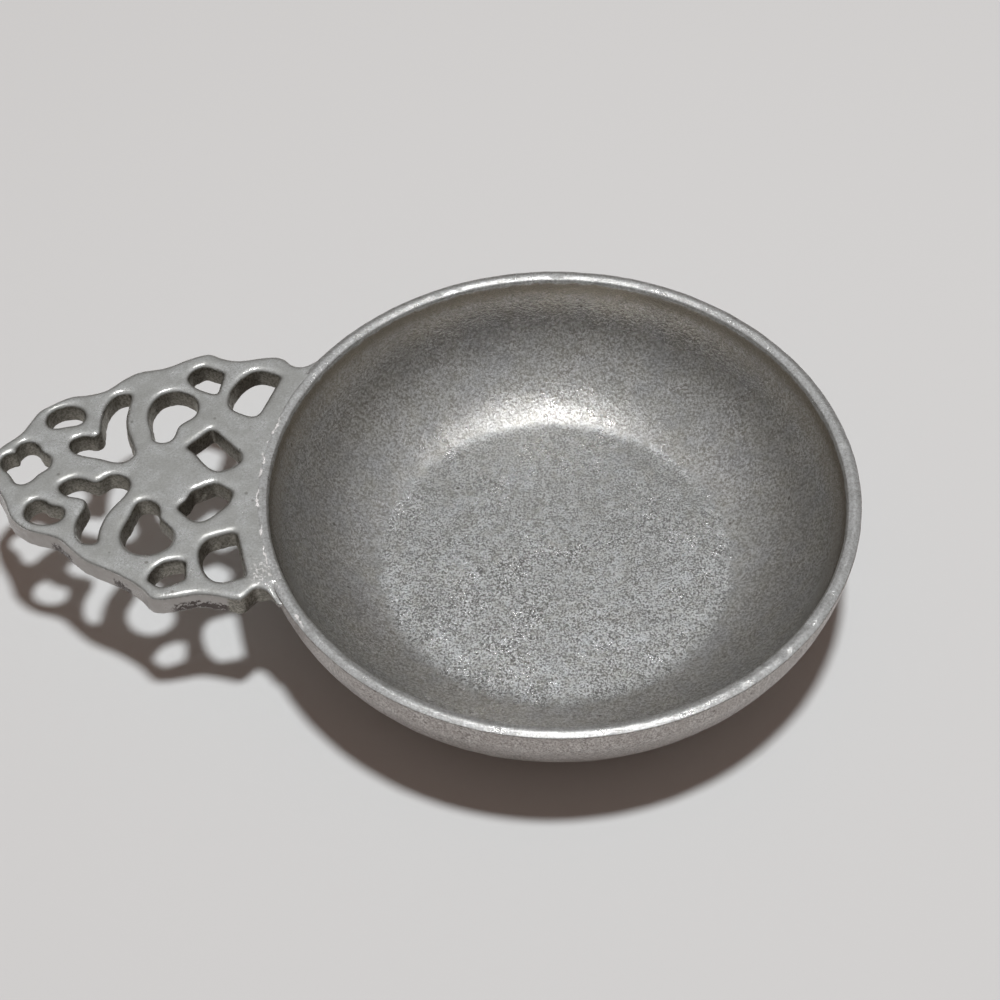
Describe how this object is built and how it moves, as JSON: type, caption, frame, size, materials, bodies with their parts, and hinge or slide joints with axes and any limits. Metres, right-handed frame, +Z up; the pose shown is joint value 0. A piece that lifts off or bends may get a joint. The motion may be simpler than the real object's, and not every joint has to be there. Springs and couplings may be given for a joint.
{
  "type": "porringer",
  "caption": "Shallow round cast metal bowl with a plain rim and one flat pierced ear handle set level with the rim, ending in a small hole to hang it by.",
  "frame": {"origin": "centre of the flat face that the bowl rests on, on the bowl's axis", "axes": "+Z up along the bowl's axis, the handle points along -X, Y runs across the handle"},
  "size_m": [0.1937, 0.1334, 0.0296],
  "materials": {
    "cast_bowl": "sand-cast grain inside, burnished rim, satin outside",
    "cast_handle": "rubbed satin with bright rounded edges and dark rough piercings",
    "solder": "dull wiped joint metal"
  },
  "bodies": {
    "root": {"bowl": "cast_bowl", "handle": "cast_handle", "solder": "solder"}
  },
  "joints": []
}
